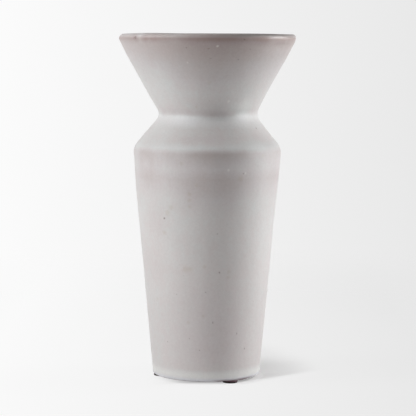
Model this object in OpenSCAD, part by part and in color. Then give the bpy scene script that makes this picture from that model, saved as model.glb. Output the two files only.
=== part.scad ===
// Stoneware vase: a narrow foot, a body that widens to a shoulder, a creased neck and a wide flared rim.
// Millimetres, +Z up. The origin is on the vase's axis, at the height of whatever the vase stands on.
// Every width and height of the outline is taken over the glaze, as callipers would read it.

/* [Outline] */
// Height of the ceramic, from the underside of its foot to the top of its rim
ceramic_h = 338; // [310:1:370]
// Height of the shoulder's edge above the underside of the foot
shoulder_h = 225.4; // [200:0.1:240]
// Height of the neck's crease above the underside of the foot
neck_h = 258.1; // [248:0.1:280]
// Width of the body where it meets the height of the foot's underside
foot_d = 106.2; // [92:0.1:124]
// Width at the shoulder's edge, before the edge is rounded
shoulder_d = 147.5; // [134:0.1:170]
// Width at the neck's crease, before the crease is rounded
neck_d = 93.8; // [82:0.1:106]
// Width of the rim, the widest place on the vase
rim_d = 174.4; // [156:0.1:194]

/* [Roundings] */
// Radius of the shoulder's outer edge
shoulder_r = 15.9; // [8:0.1:22]
// Radius of the crease at the neck, on the outside
neck_r = 9.8; // [4:0.1:16]
// Radius where the flare turns upright below the rim
lip_r = 12; // [4:0.5:16]
// Radius of the rim's outer edge
rim_outer_r = 3.2; // [1.5:0.1:3.6]
// Radius of the rim's inner edge
rim_inner_r = 2; // [1:0.1:2.6]
// Radius where the wall meets the floor inside
floor_r = 14; // [6:1:24]

/* [Wall] */
// Thickness of the wall with the glaze on both of its sides
wall_t = 7; // [5:0.1:9]
// Thickness of the floor, from the underside of the foot to the glaze inside
floor_t = 10; // [7:0.5:16]
// Height of the upright face between the flare and the top of the rim
lip_h = 6.5; // [5:0.1:10]
// Thickness of the glaze
glaze_t = 0.6; // [0.3:0.1:1]

/* [Foot] */
// Height of the wiped, bare strip of clay between the foot's underside and the glaze
bare_edge_h = 0.8; // [0.6:0.1:3]
// How far the bare edge is bevelled in from the clay's side
bare_edge_bevel = 1; // [0.4:0.1:2]
// Width of the flat ring that carries the pads
foot_ring_w = 15.6; // [15:0.1:20]
// Depth of the hollow inside the flat ring
recess_depth = 2; // [1:0.1:4]
// Width of the slope between the flat ring and the hollow
recess_slope_w = 3; // [2:0.1:5]
// Radius of the bends at the top and at the bottom of that slope
recess_bend_r = 1.5; // [0.5:0.1:2]

/* [Pads] */
// Width of a felt pad
pad_d = 14; // [10:0.1:14.6]
// Thickness of the felt
felt_t = 2.75; // [2:0.05:4]
// Radius worn on the felt's lower edge
felt_edge_r = 0.5; // [0.2:0.1:1]
// Thickness of the adhesive film on the felt
adhesive_t = 0.25; // [0.1:0.05:0.4]
// How far the adhesive film stops short of the felt's edge
adhesive_inset = 0.3; // [0.1:0.1:1]
// Distance of a pad's edge from the outer edge of the flat ring
pad_inset = 0.2; // [0.1:0.1:0.4]
// Direction of the front pad, in degrees from +X towards +Y
front_pad_azimuth = -58; // [-80:1:-40]

/* [Hidden] */
$fn = 144;

// The pads share the circle equally
PAD_COUNT = 3;
pad_step = 360 / PAD_COUNT;
left_pad_azimuth = front_pad_azimuth - pad_step;
rear_pad_azimuth = front_pad_azimuth + pad_step;

// Most that an outline turns between two neighbouring points of an arc, in degrees
ARC_STEP = 6;
// Share of a straight side that the arcs at its two ends may take up
ARC_ROOM_SHARE = 0.98;

// The ceramic stands on the felt and its adhesive
foot_z = felt_t + adhesive_t;
rim_z = foot_z + ceramic_h;

// Direction of a vector, as a vector of length 1
function unit(v) = v / norm(v);

// The vector that points to the left of v, of the same length
function left_of(v) = [-v[1], v[0]];

// The vector v turned anticlockwise by an angle
function turned(v, angle) = [v[0] * cos(angle) - v[1] * sin(angle), v[0] * sin(angle) + v[1] * cos(angle)];

// The point at a height z on the line through p and q
function at_height(p, q, z) = p + (q - p) * (z - p[1]) / (q[1] - p[1]);

// Direction of the side that leaves corner i
function heading(path, i) = unit(path[i + 1] - path[i]);

// Angle through which a path turns at corner i, positive to the left, and zero at its ends
function turn_at(path, i) =
    i == 0 || i == len(path) - 1 ? 0
    : let (before = heading(path, i - 1), after = heading(path, i))
        atan2(cross(before, after), before * after);

// Length of side that a full arc at corner i would take up
function run_at(path, radii, i) = radii[i] * abs(tan(turn_at(path, i) / 2));

// Share of the two arcs at the ends of side i that the side has room for
function room_on(path, radii, i) =
    let (runs = run_at(path, radii, i) + run_at(path, radii, i + 1))
        runs == 0 ? 1 : min(1, ARC_ROOM_SHARE * norm(path[i + 1] - path[i]) / runs);

// The points of the arc at corner i, made smaller where the sides are too short for it
function arc_at(path, radii, i) =
    let (
        turn = turn_at(path, i),
        room = min(room_on(path, radii, i - 1), room_on(path, radii, i)),
        start = path[i] - heading(path, i - 1) * run_at(path, radii, i) * room,
        to_centre = left_of(heading(path, i - 1)) * sign(turn) * radii[i] * room,
        steps = ceil(abs(turn) / ARC_STEP)
    )
        [for (k = [0:steps]) start + to_centre - turned(to_centre, turn * k / steps)];

// A path with each corner rounded to its radius
function rounded(path, radii) = [
    for (i = [0:len(path) - 1])
        each radii[i] * turn_at(path, i) == 0 ? [path[i]] : arc_at(path, radii, i)
];

// The path that runs beside another one, a distance d to its left
function beside(path, d) = [
    for (i = [0:len(path) - 1])
        let (
            before = left_of(heading(path, max(i - 1, 0))),
            after = left_of(heading(path, min(i, len(path) - 2)))
        )
            path[i] + (before + after) * d / (1 + before * after)
];

function reversed(path) = [for (i = [len(path) - 1:-1:0]) path[i]];

// Sharp corners of the outside, as [radius, height]: foot, shoulder, neck and the end of the flare
foot_corner = [foot_d / 2, foot_z];
shoulder_corner = [shoulder_d / 2, foot_z + shoulder_h];
neck_corner = [neck_d / 2, foot_z + neck_h];
flare_end = [rim_d / 2, rim_z - lip_h];
outside = [foot_corner, shoulder_corner, neck_corner, flare_end];

// Sharp corners of the inside, which runs beside the outside
inside = beside(outside, wall_t);
inner_floor_corner = at_height(inside[0], inside[1], foot_z + floor_t);
inner_rim_corner = at_height(inside[2], inside[3], rim_z);

// The glaze starts above the bare edge of the foot
glaze_start = at_height(foot_corner, shoulder_corner, foot_z + bare_edge_h);

// Face of the glaze, from the foot up over the rim and down to the middle of the floor
glaze_face = rounded(
    [
        glaze_start, shoulder_corner, neck_corner, flare_end, [rim_d / 2, rim_z],
        inner_rim_corner, inside[2], inside[1], inner_floor_corner, [0, foot_z + floor_t]
    ],
    [0, shoulder_r, neck_r, lip_r, rim_outer_r, rim_inner_r, neck_r + wall_t,
        max(shoulder_r - wall_t, wall_t / 2), floor_r, 0]
);

// The clay under it, one thickness of glaze further in
clay_face = beside(glaze_face, glaze_t);

// Underside of the clay: the hollow, its slope, the flat ring and the bevel up to the glaze
foot_flat_r = clay_face[0][0] - bare_edge_bevel;
recess_r = foot_flat_r - foot_ring_w - recess_slope_w;
clay_underside = rounded(
    [
        [0, foot_z + recess_depth], [recess_r, foot_z + recess_depth],
        [recess_r + recess_slope_w, foot_z], [foot_flat_r, foot_z], clay_face[0]
    ],
    [0, recess_bend_r, recess_bend_r, 0, 0]
);

// Distance of each pad's centre from the axis
pad_circle_r = foot_flat_r - pad_inset - pad_d / 2;

// Fired clay shell, open at the rim
module stoneware_body() {
    color("#6b4f50")
        rotate_extrude()
            polygon(concat(clay_face, [for (i = [0:len(clay_underside) - 2]) clay_underside[i]]));
}

// Glaze fused over the clay, outside and in
module glaze_coat() {
    color("#ddd8d2")
        rotate_extrude()
            polygon(concat(glaze_face, reversed(clay_face)));
}

// Places its children on the circle of pads
module at_pad(azimuth) {
    rotate([0, 0, azimuth])
        translate([pad_circle_r, 0, 0])
            children();
}

// Round felt pad, lying on the surface that the vase stands on
module felt_pad(azimuth) {
    color("#3b2f2e")
        at_pad(azimuth)
            rotate_extrude()
                polygon(rounded(
                    [[0, 0], [pad_d / 2, 0], [pad_d / 2, felt_t], [0, felt_t]],
                    [0, felt_edge_r, 0, 0]
                ));
}

// Film that holds a felt pad to the clay
module adhesive_disc(azimuth) {
    color("#d8c9a4")
        at_pad(azimuth)
            translate([0, 0, felt_t])
                cylinder(h = adhesive_t, d = pad_d - 2 * adhesive_inset);
}

module felt_pad_front() { felt_pad(front_pad_azimuth); }
module felt_pad_left() { felt_pad(left_pad_azimuth); }
module felt_pad_rear() { felt_pad(rear_pad_azimuth); }
module adhesive_disc_front() { adhesive_disc(front_pad_azimuth); }
module adhesive_disc_left() { adhesive_disc(left_pad_azimuth); }
module adhesive_disc_rear() { adhesive_disc(rear_pad_azimuth); }

stoneware_body();
glaze_coat();
felt_pad_front();
felt_pad_left();
felt_pad_rear();
adhesive_disc_front();
adhesive_disc_left();
adhesive_disc_rear();
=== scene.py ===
"""Looks of a tall stoneware vase: matt glaze over red-brown clay, on three felt pads, in a pale studio.

The vase stands on the floor at z = 0 with its axis on the Z axis. Sizes are in millimetres unless a name says
otherwise, and Blender's own units are metres.
"""

from __future__ import annotations

import logging
import math
from collections.abc import Callable, Sequence
from dataclasses import dataclass
from enum import Enum
from functools import cache, partial
from typing import Any, ClassVar

import bmesh
import bpy
from mathutils import Matrix, Vector, noise


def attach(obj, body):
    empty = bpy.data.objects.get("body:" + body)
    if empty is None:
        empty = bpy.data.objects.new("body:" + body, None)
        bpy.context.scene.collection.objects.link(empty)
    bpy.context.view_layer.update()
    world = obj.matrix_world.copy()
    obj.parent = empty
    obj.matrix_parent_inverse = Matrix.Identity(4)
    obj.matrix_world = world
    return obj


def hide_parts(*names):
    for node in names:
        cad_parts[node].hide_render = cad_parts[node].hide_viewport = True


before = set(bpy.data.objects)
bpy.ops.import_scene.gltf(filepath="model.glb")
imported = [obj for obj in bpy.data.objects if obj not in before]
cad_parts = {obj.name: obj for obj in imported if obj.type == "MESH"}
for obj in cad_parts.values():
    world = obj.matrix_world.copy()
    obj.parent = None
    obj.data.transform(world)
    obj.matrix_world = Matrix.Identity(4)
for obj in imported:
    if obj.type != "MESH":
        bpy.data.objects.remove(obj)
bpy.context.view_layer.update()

LOG = logging.getLogger("vase")
MM = 0.001
BODY = "root"
# Two points of a mesh nearer than this are one, and a corner rounded by less than this stays sharp
MERGE = 0.001 * MM
SHARP = 1e-6

# Places in rising order, each with the value there
Table = tuple[tuple[float, float], ...]
# Degrees right of the front, height, radius and strength of a soft, round place on the glaze
Spot = tuple[float, float, float, float]
# add_node with its node tree filled in
AddNode = Callable[..., Any]


class Slot(Enum):
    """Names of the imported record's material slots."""

    CLAY = "bare_stoneware"
    GLAZE = "matt_glaze"
    FELT = "wool_felt"


class PadPlace(Enum):
    """Where a felt pad sits under the foot, by the end of its nodes' names."""

    FRONT = "front"
    LEFT = "left"
    REAR = "rear"


def linear(colour: str) -> tuple[float, float, float, float]:
    """Turns an sRGB hex colour into the linear colour that a shader takes.

    Args:
        colour: Six hex digits after a hash sign.

    Returns:
        Red, green, blue and an alpha of 1.
    """
    parts = [int(colour[i : i + 2], 16) / 255 for i in (1, 3, 5)]
    red, green, blue = (c / 12.92 if c <= 0.04045 else ((c + 0.055) / 1.055) ** 2.4 for c in parts)
    return red, green, blue, 1.0


def add_node(
    tree: bpy.types.NodeTree,
    kind: str,
    inputs: dict[Any, Any] | Sequence[Any] = (),
    operation: str = "",
    stops: Sequence[tuple[float, float | str]] = (),
    **settings: Any,
) -> Any:
    """Adds a node, sets its properties, and fills or links its sockets.

    Args:
        tree: The node tree that gets the node.
        kind: Blender's name of the node's type, without the ShaderNode that it starts with.
        inputs: What goes into the sockets, in order or by their names or numbers: a value, an sRGB hex
            colour, an output socket, or a node, whose first output in use then feeds it.
        operation: What a node for numbers or vectors works out.
        stops: Places of a colour ramp in rising order, each with a grey level or an sRGB hex colour.
        **settings: The node's own properties.

    Returns:
        The new node.
    """
    node = tree.nodes.new("ShaderNode" + kind)
    if operation:
        node.operation = operation
    for name, value in settings.items():
        setattr(node, name, value)
    for key, value in inputs.items() if isinstance(inputs, dict) else enumerate(inputs):
        if isinstance(value, bpy.types.Node):
            value = next(socket for socket in value.outputs if socket.enabled)
        elif isinstance(value, str):
            value = linear(value)
        if isinstance(value, bpy.types.NodeSocket):
            tree.links.new(value, node.inputs[key])
        else:
            node.inputs[key].default_value = value
    if stops:
        elements = node.color_ramp.elements
        while len(elements) < len(stops):
            elements.new(0.5)
        for element, (where, _) in zip(elements, stops):
            element.position = where
        for element, (_, shade) in zip(elements, stops):
            element.color = linear(shade) if isinstance(shade, str) else (shade, shade, shade, 1)
    return node


def new_material(name: str) -> tuple[bpy.types.Material, AddNode]:
    """Makes an empty node material.

    Args:
        name: The finish's plain name.

    Returns:
        The material, and add_node for its node tree.
    """
    material = bpy.data.materials.new(name)
    material.use_nodes = True
    material.node_tree.nodes.clear()
    return material, partial(add_node, material.node_tree)


@dataclass(frozen=True)
class MattGlaze:
    """Matt stoneware glaze, poured and fired: pale where it pooled, and browner the thinner it ran.

    A table by height pairs millimetres above the floor with a value, and one by angle pairs degrees right of
    the front with a value. Thinness runs from 0, where the glaze is thick, to 1. Some bands paint shade,
    highlights and a reflection into the colour: on the rim's top, at the neck's crease, on the lower body's
    front and at the foot's edge.
    """

    shades: tuple[tuple[float, str], ...] = (
        (0, "#d6d6d4"), (0.17, "#c9c8c7"), (0.23, "#c7c3c2"), (0.29, "#c4bebe"), (0.4, "#bcb4b3"),
        (0.52, "#b4aaa8"), (0.64, "#aca09e"), (0.76, "#a49694"), (0.88, "#9c8c89"), (1, "#95827d"),
    )
    # Pale bluish pooled glaze; below the neck's crease it also carries a painted highlight
    cool: str = "#dcdce1"
    green_tint: tuple[float, ...] = (0.96, 1, 1, 1)
    rose_tint: tuple[float, ...] = (1.04, 1, 1, 1)
    # Painted reflection: a bluish band just above the glaze's lower edge, a little darker than the glaze
    # above
    painted_foot_reflection: str = "#cfcfd3"
    # Dark red-brown at the glaze's lowest edge: the clay showing through thin glaze, darkened as painted
    # shade where the foot meets the floor
    flushed: str = "#54262f"
    # Painted shade on the rim's top, strongest on the front right and at the back
    painted_rim_shade: str = "#625c57"
    iron: str = "#5d4a44"
    tan: str = "#a8997f"
    pale: str = "#dedcd8"
    ior: float = 1.5
    # Height where the tables end, and radius of the cylinder that streaks and spots are laid on
    ramp_top: float = 345
    wrap_radius: float = 62
    matt: float = 0.6
    satin: float = 0.16
    # Width of a spot's soft edge, as a share of its radius
    patch_edge: float = 1.4
    iron_edge: float = 0.9
    tan_edge: float = 1.7
    pale_edge: float = 1.0
    # Millimetres that fine mottle shakes a speck's outline
    ragged: float = 2.6
    by_height: ClassVar[dict[str, Table]] = {
        "base": (
            (4, 0.14), (284, 0.14), (290, 0.1), (296, 0.06), (306, 0.06), (312, 0.08), (320, 0.12),
            (330, 0.14), (333, 0.16), (334.6, 0.24), (336, 0.5), (338, 0.53), (338.4, 0.13), (341, 0.04),
        ),
        # Thinness from 262 to 265 mm, just above the neck's crease, is painted shadow under the flare
        "thin": (
            (4, 0), (16, 0.13), (35, 0.16), (70, 0.14), (130, 0.07), (165, 0.07), (180, 0.14), (190, 0.23),
            (202, 0.28), (212, 0.14), (220, 0.26), (224, 0.34), (226.3, 0.39), (230, 0.16), (232, 0.05),
            (241, 0.15), (246, 0.08), (258, 0.06), (262.5, 0.2), (264.8, 0.25), (270, 0.09), (284, 0.06),
            (294, 0.24), (300, 0.33), (318, 0.46), (331, 0.58), (334, 0.66), (336, 0.5), (337.6, 0.46),
            (338.5, 0.5), (341, 0.62),
        ),
        "thin inside": (
            (13, 0.15), (255, 0.2), (260, 0.6), (264, 0.7), (268, 0.45), (274, 0.2), (319, 0.2), (329, 0.33),
            (336, 0.6), (339, 0.55), (341, 0.35),
        ),
        # From 249 to 263 mm, just below the neck's crease, pooled glaze with a painted highlight on it
        "pool": (
            (229, 0), (232, 0.35), (234, 0.2), (237, 0), (249, 0), (252, 0.35), (255, 0.85), (257, 1),
            (260, 1), (261.6, 0.55), (263.2, 0),
        ),
        "pool inside": ((13, 0.8), (17, 0.6), (23, 0.3), (31, 0), (215, 0), (223, 0.4), (233, 0)),
        "foot": ((9.5, 0.95), (11, 0.7), (12.5, 0.45), (14, 0.1), (16, 0)),
        # Painted reflection just above the glaze's lower edge
        "painted_foot_reflection": ((4.8, 1), (5.8, 0.6), (7.2, 0)),
        # The glaze's lowest millimetre: clay showing through, darkened as painted shade
        "flush": ((3.6, 1), (4.1, 0.6), (4.6, 0)),
        "satin": ((336.8, 0), (337.6, 0.95), (338.6, 0.95), (339.4, 0.3)),
        # Painted shade on the rim's top, over its last two millimetres
        "painted_rim_shade": ((338.5, 0), (339.3, 0.5), (340.2, 1)),
        "tint": (
            (4, 0.64), (11, 0.66), (13, 0.82), (18, 0.7), (35, 0.64), (90, 0.64), (110, 0.73), (130, 0.75),
            (150, 0.68), (165, 0.6), (180, 0.45), (203, 0.5), (216, 0.43), (229, 0.32), (234, 0.5),
            (244, 0.57), (256, 0.6), (261, 0.5), (263.2, 0.2), (265, 0.3), (268, 0.5), (276, 0.64),
            (284, 0.6), (294, 0.45), (306, 0.33), (314, 0.3), (322, 0.42), (330, 0.5),
        ),
    }
    by_angle: ClassVar[dict[str, Table]] = {
        # Thinness peaks at the front: partly glaze that ran thinner there, and partly painted shade on the
        # lower body's front
        "thin turn": (
            (-180, 0.5), (-110, 0.4), (-67, 0.42), (-54, 0.52), (-42, 0.62), (-30, 0.72), (-18, 0.82),
            (-6, 0.95), (6, 1), (18, 0.94), (30, 0.86), (42, 0.68), (54, 0.62), (67, 0.62), (110, 0.5),
            (180, 0.5),
        ),
        # The pool round the vase, and with it the painted highlight below the neck's crease: strongest to the
        # left and right of the front
        "pool turn": (
            (-180, 0.6), (-67, 0.4), (-54, 0.45), (-42, 0.65), (-30, 1), (-18, 1), (-6, 0.6), (6, 0.45),
            (18, 0.45), (30, 0.55), (42, 0.95), (54, 0.45), (67, 0.25), (110, 0.4), (180, 0.6),
        ),
        # Where round the foot that dark edge, partly painted shade, is strongest: most on the front right,
        # less at the back, none on the front left
        "flush turn": (
            (-180, 0.6), (-90, 0), (4, 0), (14, 0.8), (21, 0.9), (26, 0.65), (34, 0.65), (39, 0.9), (46, 0.9),
            (54, 0.5), (62, 0), (120, 0.5), (180, 0.6),
        ),
        # Where round the rim the painted shade on its top falls: most on the front right, and at the back
        "painted_rim_shade turn": (
            (-180, 0.45), (-155, 0.4), (-130, 0.1), (-25, 0), (-6, 0.15), (8, 0.6), (20, 0.85), (45, 0.95),
            (62, 0.7), (75, 0.5), (90, 0.4), (120, 0.7), (165, 0.75), (180, 0.45),
        ),
        "satin turn": ((-180, 0.6), (-60, 0.4), (-20, 0.5), (15, 1), (100, 1), (180, 0.6)),
    }
    # Millimetres that the bands at the neck hang lower than elsewhere
    sags: tuple[Spot, ...] = ((12, 262, 20, 0.5), (46, 263, 14, -1.1), (-40, 262, 16, -0.3))
    # Where the glaze is thinner or thicker than its tables say
    patches: tuple[Spot, ...] = (
        (42, 267, 12, -0.16), (42, 228.5, 11, -0.12), (52, 230, 8, -0.07), (-56, 226, 10, 0.08),
        (-20, 229.5, 7, -0.07), (-18, 235, 6, 0.05), (22, 221, 10, -0.06), (-55, 209.5, 14, 0.11),
        (66, 207, 12, 0.08), (-48, 157, 14, 0.07), (-58, 118, 20, 0.05), (-42, 300, 12, -0.05),
        (-60, 265, 6, 0.08), (-30, 187, 11, -0.045), (40, 185, 14, -0.05), (-45, 266, 8, 0.05),
        (-42, 245, 8, -0.04), (22, 238, 8, -0.05), (48, 235, 12, 0.06), (50, 229, 8, 0.05),
        (38, 336.5, 6, 0.16), (54, 336.5, 6, 0.16), (-52, 337, 3.2, 0.16), (-44, 337.2, 3.2, 0.2),
        (-36, 337.2, 3.2, 0.12), (-48, 339.4, 5, -0.2), (70, 336, 7, 0.14), (-56, 217.5, 5, -0.09),
        (24, 268, 7, -0.05), (24, 300, 16, -0.04), (-20, 339.4, 6, -0.1), (46, 335.2, 6, 0.08),
        (60, 335.2, 6, 0.12),
    )
    iron_specks: tuple[Spot, ...] = (
        (-52.3, 337.3, 1.2, 0.5), (23.7, 336.1, 0.8, 0.4), (-13.7, 328.3, 0.7, 0.3), (0.7, 327.5, 0.7, 0.3),
        (29.5, 326.6, 0.7, 0.25), (22.3, 317.1, 0.7, 0.25), (2.1, 318, 0.7, 0.25), (57.7, 249.3, 0.9, 0.5),
        (29.2, 207.9, 0.9, 0.3), (-36.9, 163.3, 1, 0.6), (9, 150.2, 0.7, 0.25), (11.5, 111.9, 0.9, 0.45),
        (-0.8, 92.3, 0.8, 0.4), (-28.4, 89.1, 0.7, 0.25), (5.9, 62.5, 1, 0.4), (30.9, 50.3, 0.8, 0.35),
        (-16.6, 46.1, 0.7, 0.4), (-42.1, 40.9, 0.7, 0.4), (-6.7, 34.5, 0.7, 0.35), (42.1, 34.2, 0.8, 0.45),
    )
    tan_specks: tuple[Spot, ...] = (
        (1.8, 295, 1.6, 0.25), (-11.5, 270.5, 1.5, 0.25), (-19.7, 217.6, 1.6, 0.3), (26.8, 203.1, 2.2, 0.3),
        (-8, 196.8, 1.5, 0.25), (-13.5, 188, 1.4, 0.35), (-14, 182, 1.6, 0.35), (-13.8, 176, 1.4, 0.3),
        (-30, 174.5, 2.2, 0.3), (-33.5, 169, 2.4, 0.3), (-37.9, 149.4, 1.8, 0.3), (-1.8, 117.9, 1.6, 0.25),
        (-19, 114.5, 2.5, 0.3), (-14.5, 114.9, 2.3, 0.3), (20, 112, 1.6, 0.3), (19.8, 107, 1.6, 0.3),
        (-52.5, 82.6, 1.5, 0.25), (-2.7, 68.5, 1.4, 0.25), (-17.2, 62, 1.4, 0.25),
    )
    pale_specks: tuple[Spot, ...] = (
        (6.4, 329.4, 0.9, 0.5), (-14.3, 314.1, 0.9, 0.4), (21.7, 276.4, 1.2, 0.6), (16.6, 211.2, 1.1, 0.6),
        (30.9, 207.8, 1.1, 0.5),
    )

    def spots(self, add: AddNode, wrapped: Any, spots: Sequence[Spot], edge: float) -> Any:
        """Adds up a few soft spots.

        Args:
            add: Adds a node to the glaze.
            wrapped: Place on the cylinder that the spots are given on.
            spots: The spots.
            edge: Width of each one's soft edge, as a share of its radius.

        Returns:
            The node of the sum, which is a spot's strength at its middle and 0 away from them all.
        """
        total: Any = 0.0
        for degrees, height, radius, strength in spots:
            angle, reach = math.radians(degrees), self.wrap_radius
            centre = math.sin(angle) * reach * MM, -math.cos(angle) * reach * MM, height * MM
            away = add("VectorMath", [wrapped, centre], "DISTANCE")
            inner, outer = (radius * (1 + side * edge / 2) * MM for side in (-1, 1))
            mask = add("MapRange", [away, inner, outer, strength, 0.0], interpolation_type="SMOOTHSTEP")
            total = add("Math", [mask, total], "ADD")
        return total

    def build(self) -> bpy.types.Material:
        """Builds the glaze.

        Returns:
            The glaze as a node material.
        """
        material, add = new_material("matt stoneware glaze")
        texture = add("TexCoord").outputs
        place = texture["Object"]
        parts = add("SeparateXYZ", [place]).outputs
        flat = add("VectorMath", [place, (1, 1, 0)], "MULTIPLY")
        outward = add("VectorMath", [flat], "NORMALIZE")
        upright = add("VectorMath", [place, (0, 0, 1)], "MULTIPLY")
        wrapped = add("VectorMath", [outward, (self.wrap_radius * MM,) * 3, upright], "MULTIPLY_ADD")
        facing_out = add("VectorMath", [texture["Normal"], outward], "DOT_PRODUCT")
        inside = add("MapRange", [facing_out, 0.1, -0.3])
        outer = add("Math", [1.0, inside], "SUBTRACT")
        to_front = add("Math", [parts["Y"], -1.0], "MULTIPLY")
        angle = add("Math", [parts["X"], to_front], "ARCTAN2")
        turn = add("MapRange", [angle, -math.pi, math.pi])
        sag = self.spots(add, wrapped, self.sags, self.patch_edge)
        height = add("Math", [sag, MM, parts["Z"]], "MULTIPLY_ADD")
        level = add("MapRange", [height, 0.0, self.ramp_top * MM])

        # Clouds some 50 mm across, streaks some 4 mm wide that ran down, and mottles of 8 and 3 mm
        clouds = add("TexNoise", {"Vector": place, "Scale": 20.0, "Detail": 2.0})
        runs_at = add("VectorMath", [wrapped, (1, 1, 0.07)], "MULTIPLY")
        runs = add("TexNoise", {"Vector": runs_at, "Scale": 260.0, "Detail": 3.0})
        blotches = add("TexNoise", {"Vector": place, "Scale": 120.0, "Detail": 1.0})
        mottle = add("TexNoise", {"Vector": place, "Scale": 330.0, "Detail": 3.0, "Roughness": 0.6}).outputs

        maps: dict[str, Any] = {}
        scales = ((level, 0.0, self.ramp_top, self.by_height), (turn, -180.0, 180.0, self.by_angle))
        for along, start, end, tables in scales:
            for name, table in tables.items():
                stops = [((at - start) / (end - start), value) for at, value in table]
                maps[name] = add("ValToRGB", [along], stops=stops)
        for name in ("pool", "painted_rim_shade", "flush", "satin"):
            maps[name] = add("Math", [maps[name], maps[name + " turn"]], "MULTIPLY")

        thinness = self.spots(add, wrapped, self.patches, self.patch_edge)
        thinness = add("Math", [maps["base"], thinness], "ADD")
        thinness = add("Math", [maps["thin"], maps["thin turn"], thinness], "MULTIPLY_ADD")
        thinness = add("Mix", {"Factor": inside, 2: thinness, 3: maps["thin inside"]})
        for part, share in ((clouds, 0.06), (runs, 0.05), (blotches, 0.06), (mottle[0], 0.12)):
            thinness = add("Math", [part, share, thinness], "MULTIPLY_ADD")
            thinness = add("Math", [thinness, share / 2], "SUBTRACT")
        pool = add("Math", [maps["pool"], maps["foot"]], "ADD")
        pool = add("Mix", {"Factor": inside, 2: pool, 3: maps["pool inside"]})
        spread = add("Math", [1.0, pool], "SUBTRACT")
        thinness = add("Math", [thinness, spread], "MULTIPLY", use_clamp=True)
        colour: Any = add("ValToRGB", [thinness], stops=self.shades)
        tint = add("Math", [blotches, 0.5, maps["tint"]], "MULTIPLY_ADD")
        tint = add("Math", [tint, 0.25], "SUBTRACT")
        tint = add("Mix", {"Factor": tint, 6: self.green_tint, 7: self.rose_tint}, data_type="RGBA")
        colour = add("VectorMath", [colour, tint], "MULTIPLY")

        # Fine mottle makes the specks ragged
        shake = add("VectorMath", [mottle[1], (0.5, 0.5, 0.5)], "SUBTRACT")
        shaken = add("VectorMath", [shake, (self.ragged * MM,) * 3, wrapped], "MULTIPLY_ADD")
        iron = self.spots(add, shaken, self.iron_specks, self.iron_edge)
        tan = self.spots(add, shaken, self.tan_specks, self.tan_edge)
        pale = self.spots(add, shaken, self.pale_specks, self.pale_edge)
        # Sand and iron in the clay bleed through here and there: one grain to a cell of 11 or 24 mm
        for name, scale, share, radius in (("pepper", 90.0, 0.22, 0.6), ("bleed", 42.0, 0.3, 2.3)):
            cells = add("TexVoronoi", {"Vector": place, "Scale": scale}).outputs
            chance = add("SeparateXYZ", [cells["Color"]]).outputs
            kept = add("Math", [chance[0], share], "LESS_THAN")
            small, large = radius * 0.6 * scale * MM, radius * 1.3 * scale * MM
            size = add("MapRange", {"Value": chance[1], 3: small, 4: large})
            spot = add("MapRange", [cells["Distance"], size, 0.0, 0.0, 1.6], interpolation_type="SMOOTHSTEP")
            maps[name] = add("Math", [spot, kept], "MULTIPLY", use_clamp=True)
        for hue, mask, strength, masked in (
            # Pooled glaze, with a painted highlight below the neck's crease
            (self.cool, maps["pool"], 0.45, True),
            # Painted bluish reflection above the glaze's lower edge
            (self.painted_foot_reflection, maps["painted_foot_reflection"], 1.0, True),
            # Clay showing through at the glaze's edge, darkened as painted shade
            (self.flushed, maps["flush"], 1.0, True),
            # Painted shade on the rim's top
            (self.painted_rim_shade, maps["painted_rim_shade"], 1.0, False),
            (self.tan, tan, 0.65, True),
            (self.tan, maps["bleed"], 0.12, False),
            (self.pale, pale, 1.0, True),
            (self.iron, maps["pepper"], 0.3, False),
            (self.iron, iron, 1.0, True),
        ):
            if masked:
                mask = add("Math", [mask, outer], "MULTIPLY")
            if strength < 1:
                mask = add("Math", [mask, strength], "MULTIPLY")
            colour = add("Mix", {"Factor": mask, 6: colour, 7: hue}, data_type="RGBA")
        fine = add("TexNoise", {"Vector": place, "Scale": 520.0, "Detail": 2.0})
        shade: Any = 0.9
        for part, share in ((fine, 0.12), (runs, 0.03), (clouds, 0.05)):
            shade = add("Math", [part, share, shade], "MULTIPLY_ADD")
        colour = add("VectorMath", {0: colour, "Scale": shade}, "SCALE")

        roughness = add("MapRange", {"Value": maps["satin"], 3: self.matt, 4: self.satin})
        roughness = add("Math", [mottle[0], 0.12, roughness], "MULTIPLY_ADD")
        roughness = add("Math", [roughness, 0.06], "SUBTRACT")

        # Skin of the fired glaze, in millimetres of relief: a fine peel, gentle waves, and pits at the specks
        peel = add("TexNoise", {"Vector": place, "Scale": 620.0, "Detail": 2.0})
        waves = add("TexNoise", {"Vector": place, "Scale": 95.0, "Detail": 1.0})
        relief: Any = 0.0
        for part, depth in ((peel, 0.07), (waves, 0.25), (maps["pepper"], -0.12)):
            relief = add("Math", [part, depth, relief], "MULTIPLY_ADD")
        # The glassy rim has hardly any relief
        rest = add("Math", [maps["satin"], -0.85, 1.0], "MULTIPLY_ADD")
        relief = add("Math", [relief, rest], "MULTIPLY")
        bump = add("Bump", {"Strength": 1.0, "Distance": MM, "Height": relief})
        finish = {"Base Color": colour, "Roughness": roughness, "IOR": self.ior, "Normal": bump}
        add("OutputMaterial", {"Surface": add("BsdfPrincipled", finish)})
        return material


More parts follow.
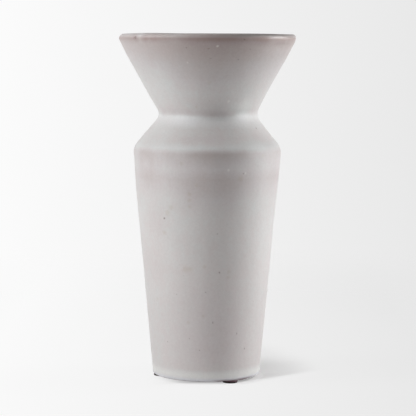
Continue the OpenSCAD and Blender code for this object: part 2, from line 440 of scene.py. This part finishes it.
@dataclass(frozen=True)
class BareStoneware:
    """Unglazed red-brown stoneware, sponged after turning: dull and open-grained, with sand in it."""

    clay: str = "#6b4f52"
    flushed: str = "#54393f"
    sand: str = "#a2877f"
    iron: str = "#30221f"
    ior: float = 1.5
    tool_pitch: float = 1.6

    def build(self) -> bpy.types.Material:
        """Builds the bare clay.

        Returns:
            The clay as a node material.
        """
        material, add = new_material("bare fired stoneware")
        place = add("TexCoord").outputs["Object"]
        # The kiln flushed it unevenly, in clouds some 14 mm across
        flush = add("TexNoise", {"Vector": place, "Scale": 70.0, "Detail": 4.0})
        flush = add("MapRange", [flush, 0.35, 0.65])
        colour = add("Mix", {"Factor": flush, 6: self.clay, 7: self.flushed}, data_type="RGBA")
        # Grains of sand, and fewer of iron, some 0.6 to 0.8 mm across
        relief: Any = 0.0
        for hue, scale, share, strength in ((self.sand, 900.0, 0.35, 0.7), (self.iron, 620.0, 0.3, 0.8)):
            cells = add("TexVoronoi", {"Vector": place, "Scale": scale}).outputs
            chance = add("SeparateXYZ", [cells["Color"]])
            kept = add("Math", [chance, share], "LESS_THAN")
            grain = add("MapRange", [cells["Distance"], 0.36, 0.16, 0.0, strength])
            grain = add("Math", [grain, kept], "MULTIPLY")
            relief = add("Math", [grain, 0.12, relief], "MULTIPLY_ADD")
            colour = add("Mix", {"Factor": grain, 6: colour, 7: hue}, data_type="RGBA")
        tooth = add("TexNoise", {"Vector": place, "Scale": 1600.0, "Detail": 3.0})
        # Marks of the turning tool follow the distance from the axis and the height
        flat = add("VectorMath", [place, (1, 1, 0)], "MULTIPLY")
        radius = add("VectorMath", [flat], "LENGTH")
        height = add("SeparateXYZ", [place]).outputs["Z"]
        across = add("Math", [radius, height], "ADD")
        turning = add("Math", [across, math.tau / (self.tool_pitch * MM)], "MULTIPLY")
        marks = add("Math", [turning], "SINE")
        for part, depth in ((tooth, 0.1), (marks, 0.02)):
            relief = add("Math", [part, depth, relief], "MULTIPLY_ADD")
        bump = add("Bump", {"Strength": 1.0, "Distance": MM, "Height": relief})
        roughness = add("MapRange", {"Value": flush, 3: 0.8, 4: 0.93})
        finish = {"Base Color": colour, "Roughness": roughness, "IOR": self.ior, "Normal": bump}
        add("OutputMaterial", {"Surface": add("BsdfPrincipled", finish)})
        return material


@dataclass(frozen=True)
class WoolFelt:
    """Dark needled wool felt, die-cut: no gloss, matted fibres that cross at all angles, a faint bloom."""

    wool: str = "#2f2424"
    fibre: str = "#4c3a37"
    shadow: str = "#1a1313"
    stain: str = "#80606a"
    stain_up: tuple[float, float] = (1.3, 2.2)
    stain_front: tuple[float, float] = (-20, -35)

    def build(self) -> bpy.types.Material:
        """Builds the felt.

        Returns:
            The felt as a node material.
        """
        material, add = new_material("needled wool felt")
        place = add("TexCoord").outputs["Object"]
        # Wool fibres are 0.03 mm thick, which is too fine to show, so their bundles are drawn 0.25 mm thick
        mat: Any = None
        for stretch, turn in (((1, 0.12, 1), 0.4), ((0.12, 1, 1), 1.1), ((1, 0.15, 0.6), 2.2)):
            laid = add("Mapping", {"Vector": place, "Rotation": (0.3, 0.2, turn), "Scale": stretch})
            strands = add("TexNoise", {"Vector": laid, "Scale": 4000.0, "Detail": 2.0, "Distortion": 0.6})
            mat = add("Math", [mat, strands], "MAXIMUM") if mat else strands
        light = add("MapRange", [mat, 0.5, 0.75])
        clumps = add("TexNoise", {"Vector": place, "Scale": 700.0, "Detail": 3.0})
        dark = add("MapRange", [clumps, 0.62, 0.4])
        # Clay has rubbed off on the upper part of the front pad
        parts = add("SeparateXYZ", [place]).outputs
        stain: Any = 1.0
        for value, (start, end) in ((parts["Z"], self.stain_up), (parts["Y"], self.stain_front)):
            stain = add("MapRange", [value, start * MM, end * MM, 0.0, stain])
        colour: Any = self.wool
        for mask, hue in ((dark, self.shadow), (light, self.fibre), (stain, self.stain)):
            colour = add("Mix", {"Factor": mask, 6: colour, 7: hue}, data_type="RGBA")
        relief = add("Math", [mat, 0.25, clumps], "MULTIPLY_ADD")
        bump = add("Bump", {"Strength": 0.8, "Distance": 0.3 * MM, "Height": relief})
        sheen = {"Sheen Weight": 0.12, "Sheen Roughness": 0.6}
        shader = add("BsdfPrincipled", {"Base Color": colour, "Roughness": 1.0, "Normal": bump, **sheen})
        add("OutputMaterial", {"Surface": shader})
        return material


@dataclass(frozen=True)
class AcrylicFilm:
    """Clear yellowish acrylic adhesive, cast as a film, with fine bubbles and a wavy face."""

    film: str = "#d8c9a4"
    yellowed: str = "#c4ad7c"
    bubble: str = "#efe7d2"
    ior: float = 1.47

    def build(self) -> bpy.types.Material:
        """Builds the adhesive film.

        Returns:
            The film as a node material.
        """
        material, add = new_material("acrylic adhesive film")
        place = add("TexCoord").outputs["Object"]
        clouds = add("TexNoise", {"Vector": place, "Scale": 240.0, "Detail": 3.0})
        # Trapped air, as bubbles up to 0.3 mm across
        cells = add("TexVoronoi", {"Vector": place, "Scale": 1100.0}).outputs
        air = add("MapRange", [cells["Distance"], 0.22, 0.12, 0.0, 0.5])
        colour: Any = self.film
        for mask, hue in ((clouds, self.yellowed), (air, self.bubble)):
            colour = add("Mix", {"Factor": mask, 6: colour, 7: hue}, data_type="RGBA")
        roughness = add("MapRange", {"Value": clouds, 3: 0.25, 4: 0.45})
        bump = add("Bump", {"Strength": 0.4, "Distance": 0.1 * MM, "Height": clouds})
        finish = {"Base Color": colour, "Roughness": roughness, "IOR": self.ior, "Normal": bump}
        add("OutputMaterial", {"Surface": add("BsdfPrincipled", finish)})
        return material


@dataclass(frozen=True)
class StudioPaper:
    """Seamless white studio paper, nearly blown out on the left and a shade darker on the right."""

    paper: str = "#f7f7f7"
    left: str = "#fcfcfc"
    right: str = "#e8e8e8"
    half_width: float = 230
    # Strength of a painted glow on the paper that lightens the shadow beside the foot, and where it rises and
    # fades
    lift: float = 0.15
    lift_right: float = 0.32
    lift_across: tuple[float, float] = (15, 35)
    lift_reach: tuple[float, float] = (52, 58)
    glare: float = 0.94
    glare_left: tuple[float, float] = (20, -60)
    glare_front: tuple[float, float] = (-28, -54)
    # Towards the front right, and how much each axis counts for a place that is far off
    slant: tuple[float, float, float] = (0.707, -0.707, 0)
    glare_slant: tuple[float, float] = (45, 64)
    farness: tuple[float, float, float] = (1.2, 0.6, 1)
    glare_far: tuple[float, float] = (60, 150)
    fade_from: float = 450
    fade_to: float = 1100

    def build(self) -> bpy.types.Material:
        """Builds the paper.

        Returns:
            The paper as a node material that thins out to nothing far from the vase.
        """
        material, add = new_material("seamless studio paper")
        place = add("TexCoord").outputs["Object"]
        parts = add("SeparateXYZ", [place]).outputs
        reach = add("VectorMath", [place], "LENGTH")
        across = add("MapRange", [parts["X"], -self.half_width * MM, self.half_width * MM])
        tone = add("Mix", {"Factor": across, 6: self.left, 7: self.right}, data_type="RGBA")
        # The glare hides the shadow everywhere but behind the foot and to its right
        aslant = add("VectorMath", [place, self.slant], "DOT_PRODUCT")
        stretched = add("VectorMath", [place, self.farness], "MULTIPLY")
        far = add("VectorMath", [stretched], "LENGTH")
        glare: Any = 0.0
        for value, (start, end) in (
            (parts["X"], self.glare_left),
            (parts["Y"], self.glare_front),
            (aslant, self.glare_slant),
            (far, self.glare_far),
        ):
            rise = {"Value": value, 1: start * MM, 2: end * MM, 4: self.glare}
            part = add("MapRange", rise, interpolation_type="SMOOTHSTEP")
            glare = add("Math", [part, glare], "MAXIMUM")
        # Only the camera sees the glare, so the paper throws no more light on the vase than white paper does
        seen = add("LightPath").outputs["Is Camera Ray"]
        glare = add("Math", [glare, seen], "MULTIPLY")
        # A painted glow that only the camera sees lightens the shadow's core beside the foot
        (left, right), (low, high) = self.lift_across, self.lift_reach
        near = add("MapRange", [parts["X"], left * MM, right * MM, self.lift, self.lift_right])
        near = add("MapRange", [reach, low * MM, high * MM, near, 0.0])
        lift = add("Math", [seen, near], "MULTIPLY")
        paper = add("BsdfDiffuse", {"Color": self.paper})
        lifted = add("Emission", {"Color": tone, "Strength": lift})
        lit = add("AddShader", [paper, lifted])
        bright = add("Emission", {"Color": tone, "Strength": 1.0})
        sheet = add("MixShader", [glare, lit, bright])
        fade = [reach, self.fade_from * MM, self.fade_to * MM]
        faded = add("MapRange", fade, interpolation_type="SMOOTHSTEP")
        mixed = add("MixShader", [faded, sheet, add("BsdfTransparent")])
        add("OutputMaterial", {"Surface": mixed})
        return material


class SectionPen:
    """Draws a section in the XZ plane, with X as the radius, as one chain of edges."""

    def __init__(self, mesh: bmesh.types.BMesh, start: Vector) -> None:
        """Sets the pen down.

        Args:
            mesh: The mesh to draw in.
            start: Radius and height of the first point, in millimetres.
        """
        self.mesh = mesh
        self.place = start.copy()
        self.tip = bmesh.ops.create_vert(mesh, co=self.in_metres(start))["vert"][0]

    @staticmethod
    def in_metres(point: Vector) -> Vector:
        """Returns a point of the section as a point of the mesh."""
        return Vector((point.x, 0, point.y)) * MM

    def line_to(self, end: Vector, step: float) -> None:
        """Draws a straight run in equal edges.

        Args:
            end: Radius and height of its last point.
            step: The longest edge allowed.
        """
        start = self.place.copy()
        count = max(1, math.ceil((end - start).length / step))
        for k in range(1, count + 1):
            self.tip = bmesh.ops.extrude_vert_indiv(self.mesh, verts=[self.tip])["verts"][0]
            self.tip.co = self.in_metres(start.lerp(end, k / count))
        self.place = end.copy()

    def arc(self, centre: Vector, turn: float, step: float) -> None:
        """Draws an arc by spinning the tip about a centre.

        Args:
            centre: Radius and height of the arc's centre.
            turn: Angle of the arc in radians, positive to the left.
            step: The longest edge allowed.
        """
        radius = (self.place - centre).length
        made = bmesh.ops.spin(
            self.mesh,
            geom=[self.tip],
            cent=self.in_metres(centre),
            axis=(0, -1, 0),
            angle=turn,
            steps=max(2, math.ceil(abs(turn) * radius / step)),
        )
        self.tip = next(e for e in made["geom_last"] if isinstance(e, bmesh.types.BMVert))
        self.place = Vector((self.tip.co.x, self.tip.co.z)) / MM

    def through(self, corners: Sequence[tuple[Vector, float]], step: float, arc_step: float) -> None:
        """Draws on through corners, each rounded to its own radius.

        Args:
            corners: Sharp corners and their radii. The last one is the end, and isn't rounded.
            step: The longest edge on a straight run.
            arc_step: The longest edge on an arc.
        """
        before = self.place.copy()
        for (corner, radius), (after, _) in zip(corners, corners[1:]):
            arriving = (corner - before).normalized()
            leaving = (after - corner).normalized()
            turn = math.atan2(arriving.x * leaving.y - arriving.y * leaving.x, arriving.dot(leaving))
            if radius * abs(turn) < SHARP:
                self.line_to(corner, step)
            else:
                self.line_to(corner - arriving * radius * abs(math.tan(turn / 2)), step)
                inward = Vector((-arriving.y, arriving.x)) * math.copysign(radius, turn)
                self.arc(self.place + inward, turn, arc_step)
            before = corner
        self.line_to(corners[-1][0], step)


def bell(distance: float, reach: float) -> float:
    """Returns 1 at no distance, and less and less over a few times the reach."""
    return math.exp(-((distance / reach) ** 2) / 2)


def clipped(value: float) -> float:
    """Returns a value, kept between 0 and 1."""
    return max(0.0, min(1.0, value))


def beside(path: Sequence[Vector], distance: float) -> list[Vector]:
    """Moves a path of sharp corners sideways.

    Args:
        path: The corners.
        distance: How far to its left the new path runs.

    Returns:
        The corners of the path beside it.
    """
    headings = [(b - a).normalized() for a, b in zip(path, path[1:])]
    lefts = [Vector((-h.y, h.x)) for h in headings]
    pairs = zip([lefts[0], *lefts], [*lefts, lefts[-1]])
    return [p + (a + b) * distance / (1 + a.dot(b)) for p, (a, b) in zip(path, pairs)]


def at_height(low: Vector, high: Vector, height: float) -> Vector:
    """Returns the point at a height on the line through two points of a section."""
    return low + (high - low) * (height - low.y) / (high.y - low.y)


def spin_section(mesh: bmesh.types.BMesh, around: int) -> None:
    """Spins a drawn section about the Z axis into a closed, smooth skin that faces outwards.

    Args:
        mesh: The mesh that holds the section, and nothing else.
        around: Number of faces round the axis.
    """
    bmesh.ops.spin(
        mesh,
        geom=[*mesh.verts, *mesh.edges],
        cent=(0, 0, 0),
        axis=(0, 0, 1),
        angle=math.tau,
        steps=around,
        use_merge=True,
    )
    bmesh.ops.remove_doubles(mesh, verts=mesh.verts, dist=MERGE)
    bmesh.ops.recalc_face_normals(mesh, faces=mesh.faces)
    for face in mesh.faces:
        face.smooth = True


def in_scene(name: str, data: bpy.types.ID) -> bpy.types.Object:
    """Puts a mesh, lamp or camera into the scene.

    Args:
        name: The object's name.
        data: What the object shows or does.

    Returns:
        The object.
    """
    made = bpy.data.objects.new(name, data)
    bpy.context.scene.collection.objects.link(made)
    return made


def finished_piece(mesh: bmesh.types.BMesh, name: str, finish: bpy.types.Material) -> bpy.types.Object:
    """Turns a mesh into a dressed piece of the scene.

    Args:
        mesh: The mesh, with its place in it. It is freed.
        name: The piece's name.
        finish: The piece's material.

    Returns:
        The piece.
    """
    data = bpy.data.meshes.new(name)
    mesh.to_mesh(data)
    mesh.free()
    data.materials.append(finish)
    return in_scene(name, data)


@dataclass(frozen=True)
class Departure:
    """A gentle, local departure of the turned shape from a true one."""

    height: float
    reach: float
    lean: float = 0
    swell: float = 0


@dataclass(frozen=True)
class Vessel:
    """The fired clay shell and the glaze over it, both spun from one section."""

    ceramic_h: float = 338
    shoulder_h: float = 225.4
    neck_h: float = 258.1
    foot_d: float = 106.2
    shoulder_d: float = 147.5
    neck_d: float = 93.8
    rim_d: float = 174.4
    shoulder_r: float = 15.9
    neck_r: float = 9.8
    lip_r: float = 12
    rim_outer_r: float = 3.2
    rim_inner_r: float = 2
    floor_r: float = 14
    wall_t: float = 7
    floor_t: float = 10
    lip_h: float = 6.5
    glaze_t: float = 0.6
    foot_z: float = 3
    bare_edge_h: float = 0.8
    bare_edge_bevel: float = 1
    foot_ring_w: float = 15.6
    recess_depth: float = 2
    recess_slope_w: float = 3
    recess_bend_r: float = 1.5
    around: int = 208
    step: float = 3
    arc_step: float = 1.2
    rim_tilt_deg: float = 0.25
    rim_sag: float = 2.8
    rim_push: float = 0.5
    # How far down from the rim's top and in from its edge these are felt
    rim_reach: float = 7
    rim_edge: float = 8
    # Places across the vase, how far each reaches, and how much the rim rises or the foot falls there
    rim_rises: tuple[tuple[float, float, float], ...] = ((50, 20, 0.27), (-25, 10, -0.2), (-64, 14, 0.4))
    foot_sag: float = 0.45
    foot_drops: tuple[tuple[float, float, float], ...] = ((12, 4.5, 0.55), (35, 5.5, 0.95))
    # How far up from the foot and in from its edge these are felt
    foot_reach: float = 12
    foot_edge: float = 1.6
    spiral_depth: float = 0.22
    spiral_pitch: float = 12
    # The spiral runs from so far above the floor inside to so far below the rim, and fades in and out
    spiral_start: float = 6
    spiral_end: float = 9
    spiral_fade: float = 12
    glaze_end_r: float = 0.26
    past_corner: float = 0.01
    foot_edge_r: float = 0.4
    fine_step: float = 0.4
    departures: tuple[Departure, ...] = (
        Departure(311, 22, lean=-0.27), Departure(261, 9, lean=0.85), Departure(215, 10, lean=0.38),
        Departure(220, 5, swell=-0.28), Departure(161, 22, lean=-0.3), Departure(186, 10, swell=0.15),
        Departure(152, 6, swell=-0.2), Departure(316, 5, swell=0.25), Departure(332, 3, swell=-0.25),
        Departure(257, 3, swell=0.25),
    )

    @property
    def rim_z(self) -> float:
        """Height of the rim's top above the floor."""
        return self.foot_z + self.ceramic_h

    def sharp(self) -> tuple[list[Vector], list[Vector]]:
        """Works out the section's sharp corners.

        Returns:
            Those of the outside and those of the inside, from the foot to the rim.
        """
        outside = [
            Vector((self.foot_d / 2, self.foot_z)),
            Vector((self.shoulder_d / 2, self.foot_z + self.shoulder_h)),
            Vector((self.neck_d / 2, self.foot_z + self.neck_h)),
            Vector((self.rim_d / 2, self.rim_z - self.lip_h)),
        ]
        return outside, beside(outside, self.wall_t)

    def face(self, depth: float) -> list[tuple[Vector, float]]:
        """Lists the corners and radii of the glazed face, or of a face some way under it.

        Args:
            depth: How far under the glaze's surface the face lies.

        Returns:
            Corners with their radii, from the bare edge over the rim to the middle of the floor inside.
        """
        outside, inside = self.sharp()
        floor_z = self.foot_z + self.floor_t
        corners = [
            at_height(outside[0], outside[1], self.foot_z + self.bare_edge_h),
            *outside[1:],
            Vector((self.rim_d / 2, self.rim_z)),
            at_height(inside[2], inside[3], self.rim_z),
            inside[2],
            inside[1],
            at_height(inside[0], inside[1], floor_z),
            Vector((0, floor_z)),
        ]
        # Radii shrink by the depth where the face turns towards the clay, and grow where it turns away
        outer = [self.shoulder_r - depth, self.neck_r + depth, self.lip_r - depth]
        rim = [self.rim_outer_r - depth, self.rim_inner_r - depth]
        inner = [self.neck_r + self.wall_t - depth, self.shoulder_r - self.wall_t + depth]
        radii = [0, *outer, *rim, *inner, self.floor_r + depth, 0]
        return list(zip(beside(corners, depth), radii))

    def true_radius(self, height: float) -> float:
        """Works out the radius of the outside, with its corners left sharp.

        Args:
            height: Height above the floor.

        Returns:
            The radius there.
        """
        outside, _ = self.sharp()
        above = next((k for k in range(1, len(outside)) if height <= outside[k].y), len(outside) - 1)
        return at_height(outside[above - 1], outside[above], height).x

    @cache
    def shift_at(self, height: float) -> tuple[float, float, float, float]:
        """Works out what the hand of the maker did at a height.

        Args:
            height: Height above the floor.

        Returns:
            The lean along X, the swell of the radius, the share of the rim's tilt, and the radius inside
            which a point is on the inner face.
        """
        felt = [(d, bell(height - d.height, d.reach)) for d in self.departures]
        lean = sum(d.lean * weight for d, weight in felt)
        swell = sum(d.swell * weight for d, weight in felt)
        rise = clipped((height - self.foot_z - self.neck_h) / (self.ceramic_h - self.neck_h))
        return lean, swell, rise * rise * (3 - 2 * rise), self.true_radius(height) - self.wall_t / 2

    def hand_turned(self, point: Vector) -> Vector:
        """Moves a point of the true shape to where the hand-turned one has it.

        Args:
            point: A point of the true shape, in metres.

        Returns:
            The moved point, in metres.
        """
        height = round(point.z / MM, 3)
        lean, swell, tilted, inner_r = self.shift_at(height)
        radial = Vector((point.x, point.y, 0))
        radius = radial.length / MM
        out = radial.normalized() if radius > 0 else Vector()
        angle = math.atan2(point.y, point.x)
        # The maker's fingers left a shallow spiral on the inner face
        low, high = self.foot_z + self.floor_t + self.spiral_start, self.rim_z - self.spiral_end
        if radius < inner_r and low < height < high:
            fade = min(1.0, (height - low) / self.spiral_fade, (high - height) / self.spiral_fade)
            swell += self.spiral_depth * fade * math.sin(math.tau * height / self.spiral_pitch + angle)
        # The foot's outer edge comes lower at the front
        drop = 0.0
        if height < self.foot_z + self.foot_reach:
            edge = clipped(radius - self.foot_d / 2 + self.foot_edge)
            drop = self.foot_sag * max(0.0, -out.y) ** 3
            if out.y < 0:
                for place, reach, fall in self.foot_drops:
                    drop += fall * bell(point.x / MM - place, reach)
            drop *= edge * (1 - (height - self.foot_z) / self.foot_reach)
        # The rim isn't quite level, its outer edge sags on the left, and it stands out a little on the right
        if height > self.rim_z - self.rim_reach:
            edge = clipped((radius - self.rim_d / 2 + self.rim_edge) / self.rim_edge)
            upper = (height - self.rim_z + self.rim_reach) / self.rim_reach
            drop = self.rim_sag * max(0.0, -out.x) ** 3 * edge * edge * upper
            for place, reach, rise in self.rim_rises:
                drop -= rise * upper * bell(point.x / MM - place, reach)
            swell += self.rim_push * max(0.0, out.x) ** 2 * edge * edge * max(0.0, 2 * upper - 1) ** 2
        tilt = -math.tan(math.radians(self.rim_tilt_deg)) * point.x * tilted
        return point + out * swell * MM + Vector((lean * MM, 0, tilt - drop * MM))

    def spun(
        self, name: str, draw: Callable[[bmesh.types.BMesh], None], finish: bpy.types.Material
    ) -> bpy.types.Object:
        """Spins a drawn section into a piece, and gives it the marks of the hand that turned it.

        Args:
            name: The piece's name.
            draw: Draws the section into an empty mesh.
            finish: The piece's material.

        Returns:
            The piece, with its place in its mesh.
        """
        mesh = bmesh.new()
        draw(mesh)
        spin_section(mesh, self.around)
        for vertex in mesh.verts:
            vertex.co = self.hand_turned(vertex.co)
        return finished_piece(mesh, name, finish)

    def draw_glaze(self, mesh: bmesh.types.BMesh) -> None:
        """Draws the glaze: its face from the middle of the floor out to the foot, and back along the clay.

        Args:
            mesh: The empty mesh that it is drawn in.
        """
        face, under = self.face(0), self.face(self.glaze_t)
        # The glaze's end above the bare edge is rounded, as melted glass is, to a point just past its corner
        face[0], under[0] = (face[0][0], self.glaze_end_r), (under[0][0], self.glaze_end_r)
        lead = under[0][0].lerp(under[1][0], self.past_corner)
        pen = SectionPen(mesh, face[-1][0])
        pen.through([*face[-2::-1], under[0], (lead, 0)], self.step, self.arc_step)
        pen.through(under[1:], 2 * self.step, 2 * self.arc_step)

    def draw_clay(self, mesh: bmesh.types.BMesh) -> None:
        """Draws the clay: the face under the glaze, and the underside with its ring and hollow.

        Args:
            mesh: The empty mesh that it is drawn in.
        """
        under = self.face(self.glaze_t)
        edge = under[0][0]
        flat_r = edge.x - self.bare_edge_bevel
        recess_r = flat_r - self.foot_ring_w - self.recess_slope_w
        top = self.foot_z + self.recess_depth
        pen = SectionPen(mesh, under[-1][0])
        pen.through([*under[-2::-1]], 2 * self.step, 2 * self.arc_step)
        pen.through(
            [
                (Vector((flat_r, self.foot_z)), self.foot_edge_r),
                (Vector((recess_r + self.recess_slope_w, self.foot_z)), self.recess_bend_r),
                (Vector((recess_r, top)), self.recess_bend_r),
                (Vector((0, top)), 0),
            ],
            self.step,
            self.fine_step,
        )

    def build(self) -> list[bpy.types.Object]:
        """Builds and dresses both pieces.

        Returns:
            The glaze and the clay shell.
        """
        glaze = self.spun("matt_glaze_skin", self.draw_glaze, MattGlaze().build())
        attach(glaze, BODY)
        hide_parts("glaze_coat")
        clay = self.spun("fired_clay_shell", self.draw_clay, BareStoneware().build())
        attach(clay, BODY)
        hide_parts("stoneware_body")
        return [glaze, clay]


@dataclass
class FeltPads:
    """Three stick-on felt pads, each with the adhesive film that holds it under the foot."""

    pad_d: float = 14
    felt_t: float = 2.75
    circle_r: float = 44.376
    front_azimuth: float = -58
    worn_r: float = 0.55
    cut_r: float = 0.18
    around: int = 120
    step: float = 0.22
    fluff: float = 0.09
    bulge: float = 0.4
    # Shares of the bulge at the floor, and of the felt's thickness where it is widest
    bulge_below: float = 0.6
    bulge_up: float = 0.45
    side_r: float = 2.2
    creep: float = 0.6
    # Roughness, spacing and number of the noise's layers
    wool_noise: tuple[float, float, int] = (0.8, 2.0, 3)
    tuft: float = 0.55
    dimple: float = 0.05

    def azimuth(self, place: PadPlace) -> float:
        """Returns the direction of a pad from the axis, in radians."""
        turns = {PadPlace.FRONT: 0, PadPlace.LEFT: -1, PadPlace.REAR: 1}
        return math.radians(self.front_azimuth + turns[place] * 360 / len(PadPlace))

    def draw_pad(self, mesh: bmesh.types.BMesh) -> None:
        """Draws half of a pad's section: flat below, worn at its edge, and pressed out by the weight.

        Args:
            mesh: The empty mesh that it is drawn in.
        """
        radius = self.pad_d / 2
        pen = SectionPen(mesh, Vector((0, 0)))
        pen.through(
            [
                (Vector((radius + self.bulge * self.bulge_below, 0)), self.worn_r),
                (Vector((radius + self.bulge, self.felt_t * self.bulge_up)), self.side_r),
                (Vector((radius, self.felt_t)), self.cut_r),
                (Vector((0, self.felt_t)), 0),
            ],
            2 * self.step,
            self.step,
        )

    def fluffed(self, point: Vector, normal: Vector) -> Vector:
        """Moves a point of the pad to where the matted wool has it.

        Args:
            point: A point of the plain pad, in metres.
            normal: The pad's normal there.

        Returns:
            The moved point. The two flat faces stay within the felt's thickness.
        """
        place = point / (self.tuft * MM)
        rough = noise.fractal(place, *self.wool_noise)
        side = math.hypot(normal.x, normal.y)
        moved = point + normal * (rough * self.fluff * side - abs(rough) * self.dimple * (1 - side)) * MM
        moved.z = min(max(moved.z, 0.0), self.felt_t * MM)
        return moved

    def build_pad(self, place: PadPlace, finish: bpy.types.Material) -> bpy.types.Object:
        """Builds one felt pad in its place.

        Args:
            place: Which pad it is.
            finish: The felt.

        Returns:
            The pad.
        """
        mesh = bmesh.new()
        self.draw_pad(mesh)
        spin_section(mesh, self.around)
        mesh.normal_update()
        angle = self.azimuth(place)
        out = Vector((math.cos(angle), math.sin(angle), 0))
        centre = out * self.circle_r * MM
        bmesh.ops.translate(mesh, verts=mesh.verts, vec=centre)
        for vertex, normal in [(v, v.normal.copy()) for v in mesh.verts]:
            # The felt has crept outwards under the vase's weight
            away = max(0.0, (vertex.co - centre).dot(out)) / MM / (self.pad_d / 2)
            vertex.co = self.fluffed(vertex.co, normal) + out * self.creep * away * away * MM
        return finished_piece(mesh, "cut_felt_pad_" + place.value, finish)

    def build(self) -> list[bpy.types.Object]:
        """Builds the pads and dresses the adhesive films.

        Returns:
            The pads and the films.
        """
        felt, film = WoolFelt().build(), AcrylicFilm().build()
        done = []
        for place in PadPlace:
            pad = self.build_pad(place, felt)
            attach(pad, BODY)
            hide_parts("felt_pad_" + place.value)
            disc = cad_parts["adhesive_disc_" + place.value]
            disc.data.materials.clear()
            disc.data.materials.append(film)
            done += [pad, disc]
        return done


@dataclass(frozen=True)
class Lamp:
    """A soft box that points at the vase's middle."""

    name: str
    azimuth: float
    distance: float
    height: float
    width: float
    tall: float
    power: float
    glints_only: bool = False

    def build(self, aim: Vector) -> bpy.types.Object:
        """Places the lamp.

        Args:
            aim: The point that it faces, in metres.

        Returns:
            The lamp's object.
        """
        data = bpy.data.lights.new(self.name, "AREA")
        data.shape = "RECTANGLE"
        data.size = self.width * MM
        data.size_y = self.tall * MM
        data.energy = self.power
        lamp = in_scene(self.name, data)
        angle = math.radians(self.azimuth)
        across, deep = math.cos(angle) * self.distance, math.sin(angle) * self.distance
        lamp.location = Vector((across, deep, self.height)) * MM
        lamp.rotation_euler = (aim - lamp.location).to_track_quat("-Z", "Y").to_euler()
        lamp.visible_camera = False
        lamp.visible_diffuse = not self.glints_only
        return lamp


@dataclass
class Studio:
    """Floor, lamps, surrounding light and camera."""

    floor_r: float = 1200
    aim_z: float = 171
    ambient: float = 0.284
    ground_left: str = "#fbfbfb"
    ground_right: str = "#e9e9e9"
    ground_reach: float = 0.11
    lamps: tuple[Lamp, ...] = (
        Lamp("right strip light", 15, 1300, 170, 450, 480, 8.6),
        Lamp("high right panel", 8, 1300, 1100, 800, 600, 7.6),
        Lamp("left soft box", 195, 1300, 500, 450, 1500, 13.7),
        Lamp("high left lamp", 218, 500, 1400, 500, 500, 1.6),
        Lamp("glint card", 8, 1300, 450, 800, 260, 7.2, glints_only=True),
    )
    focal_px: float = 1861
    frame_px: float = 416
    sensor: float = 36
    camera_x: float = 1.16
    camera_back: float = 1843
    camera_z: float = 349.4
    pitch_down_deg: float = 5.612
    roll_deg: float = 0.253

    def build_floor(self) -> bpy.types.Object:
        """Lays the round sheet of paper that the vase stands on.

        Returns:
            The floor.
        """
        mesh = bmesh.new()
        bmesh.ops.create_circle(mesh, cap_ends=True, segments=96, radius=self.floor_r * MM)
        floor = finished_piece(mesh, "studio_paper", StudioPaper().build())
        return floor

    def build_world(self) -> None:
        """Makes the surrounding light, and the pale ground that shows behind the vase."""
        world = bpy.data.worlds.new("studio surroundings")
        bpy.context.scene.world = world
        world.use_nodes = True
        world.node_tree.nodes.clear()
        add = partial(add_node, world.node_tree)
        path = add("LightPath").outputs
        seen = add("Math", [path["Is Camera Ray"], path["Is Glossy Ray"]], "MAXIMUM")
        seen = add("Math", [seen, path["Is Transmission Ray"]], "MAXIMUM")
        light = add("Background", {"Color": (1, 1, 1, 1), "Strength": self.ambient})
        direction = add("TexCoord").outputs["Generated"]
        across = add("SeparateXYZ", [direction]).outputs["X"]
        across = add("MapRange", [across, -self.ground_reach, self.ground_reach])
        tone = add("Mix", {"Factor": across, 6: self.ground_left, 7: self.ground_right}, data_type="RGBA")
        ground = add("Background", {"Color": tone, "Strength": 1.0})
        mixed = add("MixShader", [seen, light, ground])
        add("OutputWorld", {"Surface": mixed})

    def build_camera(self) -> bpy.types.Object:
        """Places and turns the camera as the photograph's was.

        Returns:
            The camera.
        """
        data = bpy.data.cameras.new("camera")
        data.sensor_width = self.sensor
        data.lens = self.sensor * self.focal_px / self.frame_px
        camera = in_scene("camera", data)
        pitch, roll = math.radians(self.pitch_down_deg), math.radians(self.roll_deg)
        place = Vector((self.camera_x, -self.camera_back, self.camera_z)) * MM
        turned = Matrix.Rotation(math.pi / 2 - pitch, 4, "X") @ Matrix.Rotation(roll, 4, "Z")
        camera.matrix_world = Matrix.Translation(place) @ turned
        bpy.context.scene.camera = camera
        return camera

    def build(self) -> None:
        """Builds the whole studio."""
        self.build_floor()
        self.build_world()
        self.build_camera()
        for lamp in self.lamps:
            lamp.build(Vector((0, 0, self.aim_z)) * MM)
        bpy.context.scene.view_settings.view_transform = "Standard"


def main() -> None:
    """Builds the vase's pieces and the studio, and reports each piece."""
    logging.basicConfig(level=logging.INFO, format="%(name)s: %(message)s")
    pieces = [*Vessel().build(), *FeltPads().build()]
    Studio().build()
    for piece in pieces:
        LOG.info("%s: %d faces", piece.name, len(piece.data.polygons))


if __name__ == "__main__":
    main()
